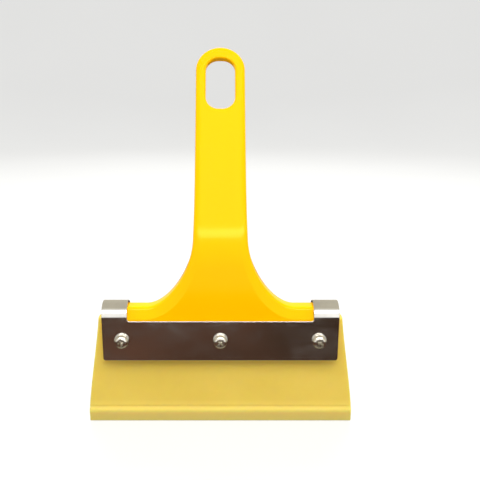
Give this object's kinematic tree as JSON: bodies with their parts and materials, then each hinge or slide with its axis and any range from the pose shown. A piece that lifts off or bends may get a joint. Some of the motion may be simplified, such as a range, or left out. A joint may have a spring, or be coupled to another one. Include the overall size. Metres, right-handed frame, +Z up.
{
  "type": "squeegee applicator",
  "caption": "Hand squeegee with a bent hanging handle, a folded steel clamp held by machine screws and nuts, and a thick flexible blade with a bevelled edge.",
  "frame": {"origin": "top of the handle's hanging hole, in the middle of the grip's thickness, where a hook bears", "axes": "+Z up towards the grip's end, front of the clamp and blade facing -Y, +X to the right seen from the front; the clamp and blade stand upright and the grip leans back by 26 degrees"},
  "size_m": [0.15, 0.063, 0.2084],
  "materials": {
    "handle_plastic": "semi-gloss moulded yellow polypropylene",
    "clamp_steel": "bright rolled stainless steel sheet, fine scratches",
    "blade_urethane": "translucent amber polyurethane, satin",
    "plated_steel": "bright nickel-plated steel"
  },
  "bodies": {
    "root": {"handle": "handle_plastic", "clamp": "clamp_steel", "blade": "blade_urethane"},
    "screw_left": {"screw_left": "plated_steel"},
    "nut_left": {"nut_left": "plated_steel"},
    "screw_middle": {"screw_middle": "plated_steel"},
    "nut_middle": {"nut_middle": "plated_steel"},
    "screw_right": {"screw_right": "plated_steel"},
    "nut_right": {"nut_right": "plated_steel"}
  },
  "joints": [
    {"name": "screw_left_turn", "type": "hinge", "parent": "root", "child": "screw_left", "pos_m": [-0.0537, -0.05541, -0.14902], "axis": [0, -1, 0], "range_deg": [0, 2162]},
    {"name": "nut_left_travel", "type": "slide", "parent": "root", "child": "nut_left", "axis": [0, 1, 0], "range_m": [0, 0.0042]},
    {"name": "screw_middle_turn", "type": "hinge", "parent": "root", "child": "screw_middle", "pos_m": [0, -0.05541, -0.14902], "axis": [0, -1, 0], "range_deg": [0, 2162]},
    {"name": "nut_middle_travel", "type": "slide", "parent": "root", "child": "nut_middle", "axis": [0, 1, 0], "range_m": [0, 0.0042]},
    {"name": "screw_right_turn", "type": "hinge", "parent": "root", "child": "screw_right", "pos_m": [0.0537, -0.05541, -0.14902], "axis": [0, -1, 0], "range_deg": [0, 2162]},
    {"name": "nut_right_travel", "type": "slide", "parent": "root", "child": "nut_right", "axis": [0, 1, 0], "range_m": [0, 0.0042]}
  ],
  "couplings": [
    {"joint": "screw_left_turn", "follows": "nut_left_travel", "rad_per_m": 8976},
    {"joint": "screw_middle_turn", "follows": "nut_middle_travel", "rad_per_m": 8976},
    {"joint": "screw_right_turn", "follows": "nut_right_travel", "rad_per_m": 8976}
  ]
}
